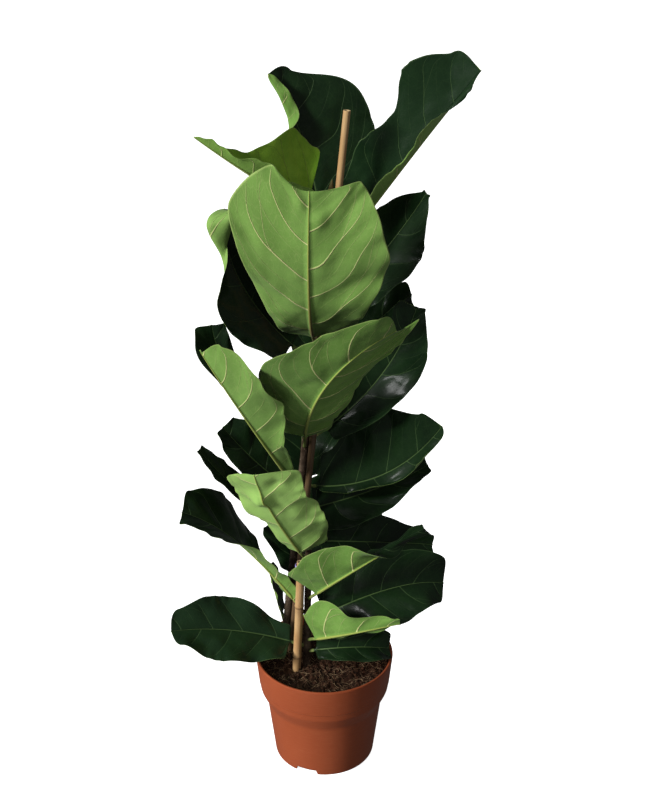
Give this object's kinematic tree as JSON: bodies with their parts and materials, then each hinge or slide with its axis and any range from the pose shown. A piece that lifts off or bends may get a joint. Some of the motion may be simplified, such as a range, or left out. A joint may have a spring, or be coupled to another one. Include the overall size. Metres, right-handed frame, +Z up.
{
  "type": "potted fiddle leaf fig",
  "caption": "Fiddle leaf fig with large waved leaves on upright stems, held by bamboo stakes in the soil of a round plastic nursery pot.",
  "frame": {"origin": "centre of the pot's base, on the surface it stands on", "axes": "+Z up, -Y towards the front seen in the picture, +X to the right of that view"},
  "size_m": [0.4263, 0.267, 1.0686],
  "materials": {
    "pot_plastic": "satin terracotta-coloured plastic",
    "soil": "loose dark potting soil with pale coir fibres",
    "bark": "rough grey-brown bark",
    "bamboo": "smooth dry cane",
    "tie_plastic": "thin soft plastic band",
    "leaf_dark": "leathery leaf, glossy dark upper side forward",
    "leaf_pale": "leathery leaf, matt pale underside forward"
  },
  "bodies": {
    "root": {"pot": "pot_plastic", "soil": "soil", "stem_tall": "bark", "stem_short": "bark", "stake_tall": "bamboo", "stake_short": "bamboo", "tie_band": "tie_plastic", "leaf_01_top_back": "leaf_dark", "leaf_02_top_right": "leaf_dark", "leaf_03_top_young": "leaf_pale", "leaf_04_top_front": "leaf_pale", "leaf_05_upper_left": "leaf_dark", "leaf_06_upper_right": "leaf_dark", "leaf_07_upper_right_small": "leaf_dark", "leaf_08_middle_front": "leaf_pale", "leaf_09_middle_right": "leaf_dark", "leaf_10_right_glossy": "leaf_dark", "leaf_11_right_shaded": "leaf_dark", "leaf_12_left_front": "leaf_pale", "leaf_13_left_back": "leaf_dark", "leaf_14_left_small": "leaf_dark", "leaf_15_left_narrow": "leaf_dark", "leaf_16_low_front": "leaf_pale", "leaf_17_low_left": "leaf_dark", "leaf_18_low_left_back": "leaf_dark", "leaf_19_right_front": "leaf_pale", "leaf_20_right_broad": "leaf_dark", "leaf_21_right_back": "leaf_dark", "leaf_22_base_front": "leaf_pale", "leaf_23_base_left": "leaf_dark", "leaf_24_base_right": "leaf_dark", "leaf_25_back_high": "leaf_dark", "leaf_26_back_middle": "leaf_dark", "leaf_27_back_low": "leaf_dark", "leaf_28_back_right": "leaf_dark", "leaf_29_back_base": "leaf_dark"}
  },
  "joints": []
}
